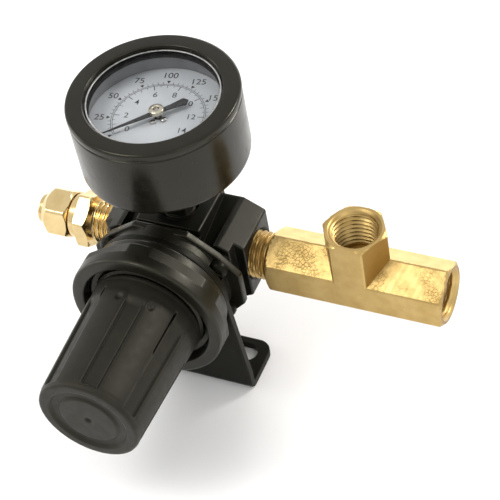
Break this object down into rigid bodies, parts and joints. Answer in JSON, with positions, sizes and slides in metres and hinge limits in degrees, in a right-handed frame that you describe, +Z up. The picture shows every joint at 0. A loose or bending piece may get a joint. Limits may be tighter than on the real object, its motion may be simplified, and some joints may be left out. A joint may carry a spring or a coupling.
{
  "type": "air pressure regulator",
  "caption": "Compact panel and bracket mounted air pressure regulator with adjusting knob, dial gauge, threaded tee outlet and compression tube inlet.",
  "frame": {"origin": "centre of the underside of the bracket foot, midway between its two slots", "axes": "+Z up and along the gauge axis, +X along the ports towards the tee, -Y along the adjusting knob"},
  "size_m": [0.1157, 0.0828, 0.0889],
  "materials": {
    "black_diecast": "satin black paint on a zinc die casting",
    "black_plastic": "moulded black engineering plastic",
    "knob_plastic": "satin moulded black plastic",
    "black_steel": "black coated sheet steel",
    "black_enamel": "semi-gloss black enamel",
    "satin_brass": "extruded brass bar, fine drawn texture",
    "bright_brass": "turned bright brass",
    "plain_steel": "plain zinc plated steel",
    "black_rubber": "nitrile rubber",
    "clear_lens": "clear acrylic",
    "grey_plastic": "grey moulded spacer",
    "dial_white": "white printed dial",
    "pointer_black": "black painted aluminium",
    "hub_plated": "pale plated brass"
  },
  "bodies": {
    "root": {"body": "black_diecast", "valve_seat": "bright_brass", "rear_plug": "black_plastic", "rear_plug_seal": "black_rubber", "gauge_port_plug": "bright_brass", "diaphragm": "black_rubber", "bonnet": "black_plastic", "bonnet_screw_1": "black_steel", "bonnet_screw_2": "black_steel", "bonnet_screw_3": "black_steel", "bonnet_screw_4": "black_steel", "main_spring": "plain_steel", "valve_spring": "plain_steel", "bracket": "black_steel", "panel_nut": "black_plastic", "tee": "satin_brass", "fitting_body": "bright_brass", "gauge_socket": "black_steel", "gauge_case": "black_enamel", "gauge_lens": "clear_lens", "dial_ring": "grey_plastic", "gauge_dial": "dial_white", "dial_screw_1": "plain_steel", "dial_screw_2": "plain_steel", "bourdon_tube": "bright_brass", "movement_frame": "bright_brass", "tube_link": "bright_brass"},
    "adjusting_screw": {"adjusting_screw": "bright_brass"},
    "knob": {"knob": "knob_plastic"},
    "adjusting_nut": {"adjusting_nut": "bright_brass"},
    "diaphragm_plate": {"diaphragm_plate": "plain_steel", "relief_boss": "bright_brass"},
    "valve": {"valve_stem": "plain_steel", "valve_poppet": "black_rubber"},
    "ferrule": {"ferrule": "bright_brass"},
    "tube_nut": {"tube_nut": "bright_brass"},
    "pointer": {"pointer": "pointer_black", "pointer_hub": "hub_plated", "pinion_arbor": "plain_steel"},
    "sector_gear": {"sector_gear": "bright_brass"}
  },
  "joints": [
    {"name": "knob_turn", "type": "hinge", "parent": "root", "child": "adjusting_screw", "pos_m": [0, -0.0377, 0.0358], "axis": [0, 1, 0], "range_deg": [0, 2160]},
    {"name": "knob_pull", "type": "slide", "parent": "adjusting_screw", "child": "knob", "axis": [0, -1, 0], "range_m": [0, 0.003]},
    {"name": "setting_travel", "type": "slide", "parent": "root", "child": "adjusting_nut", "axis": [0, 1, 0], "range_m": [0, 0.009], "deforming": ["main_spring"]},
    {"name": "diaphragm_travel", "type": "slide", "parent": "root", "child": "diaphragm_plate", "axis": [0, 1, 0], "range_m": [0, 0.001], "stiffness_N_per_m": 200, "deforming": ["diaphragm"]},
    {"name": "valve_travel", "type": "slide", "parent": "root", "child": "valve", "axis": [0, 1, 0], "range_m": [0, 0.001], "deforming": ["valve_spring"]},
    {"name": "pointer_turn", "type": "hinge", "parent": "root", "child": "pointer", "pos_m": [0, 0.0064, 0.0818], "axis": [0, 0, -1], "range_deg": [0, 246], "stiffness_Nm_per_rad": 0.0002},
    {"name": "sector_turn", "type": "hinge", "parent": "root", "child": "sector_gear", "pos_m": [0, -0.0002, 0.0778], "axis": [0, 0, 1], "range_deg": [0, 52]},
    {"name": "tube_nut_travel", "type": "slide", "parent": "root", "child": "ferrule", "axis": [-1, 0, 0], "range_m": [0, 0.0025]},
    {"name": "tube_nut_turn", "type": "hinge", "parent": "ferrule", "child": "tube_nut", "pos_m": [-0.038, 0.0073, 0.0358], "axis": [-1, 0, 0], "range_deg": [0, 720]}
  ],
  "couplings": [
    {"joint": "setting_travel", "follows": "knob_turn", "m_per_rad": 0.00023873},
    {"joint": "valve_travel", "follows": "diaphragm_travel", "ratio": 1},
    {"joint": "sector_turn", "follows": "pointer_turn", "ratio": 0.2056},
    {"joint": "tube_nut_turn", "follows": "tube_nut_travel", "rad_per_m": 5026.5}
  ]
}
